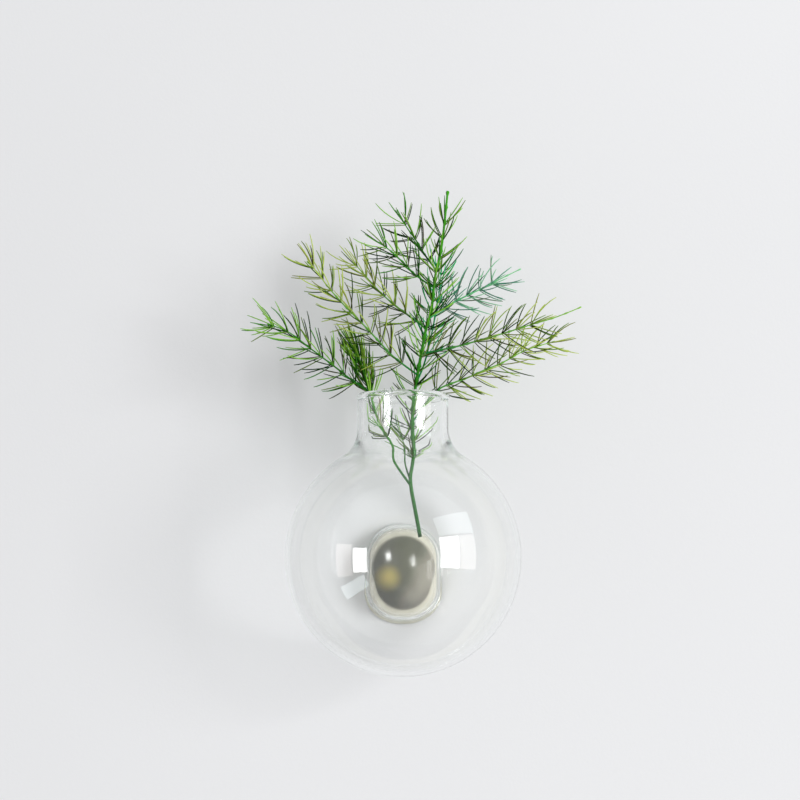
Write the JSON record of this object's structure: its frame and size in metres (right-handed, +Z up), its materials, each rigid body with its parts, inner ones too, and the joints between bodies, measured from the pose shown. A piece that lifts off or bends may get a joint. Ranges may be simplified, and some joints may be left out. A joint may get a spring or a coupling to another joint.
{
  "type": "wall mounted bud vase",
  "caption": "Blown glass globe vase with a short neck, hung by a blind oval socket at its back on a soft peg screwed to the wall, holding a feathery green sprig.",
  "frame": {"origin": "centre of the peg's back face on the wall's surface", "axes": "+Y into the wall, +Z up, +X to the right for someone who looks at the wall; the room is toward -Y"},
  "size_m": [0.1465, 0.1299, 0.2089],
  "materials": {
    "clear_glass": "clear thin blown glass, fire polished lip, faint green cast at thick edges",
    "sleeve_ivory": "matt ivory soft silicone",
    "cap_smoky": "glossy smoky grey-olive dome, a warm glow of brass low on the left",
    "core_plastic": "fine moulded grain",
    "pad_rubber": "matt grey soft pad",
    "screw_brass": "turned brass with a light patina",
    "washer_steel": "zinc bright steel",
    "plug_nylon": "grey moulded nylon",
    "stem_green": "fresh green stem, waxy",
    "needle_green": "fresh green needles, yellow-green toward the outer tips"
  },
  "bodies": {
    "wall_mount": {"wall_plug": "plug_nylon", "mounting_screw": "screw_brass", "screw_washer": "washer_steel", "back_pad": "pad_rubber", "peg_core": "core_plastic", "peg_sleeve": "sleeve_ivory", "peg_cap": "cap_smoky"},
    "vessel": {"glass_vessel": "clear_glass"},
    "sprig": {"main_stem": "stem_green", "left_stem": "stem_green", "middle_stem": "stem_green", "rear_stem": "stem_green", "branch_a": "needle_green", "branch_b": "needle_green", "branch_c": "needle_green", "branch_d": "needle_green", "branch_e": "needle_green", "branch_f": "needle_green", "branch_g": "needle_green", "branch_h": "needle_green", "branch_i": "needle_green"}
  },
  "joints": [
    {"name": "vessel_slide", "type": "slide", "parent": "wall_mount", "child": "vessel", "axis": [0, -1, 0], "range_m": [0, 0.045]},
    {"name": "sprig_lift", "type": "slide", "parent": "vessel", "child": "sprig", "axis": [0, 0, 1], "range_m": [0, 0.08]}
  ]
}
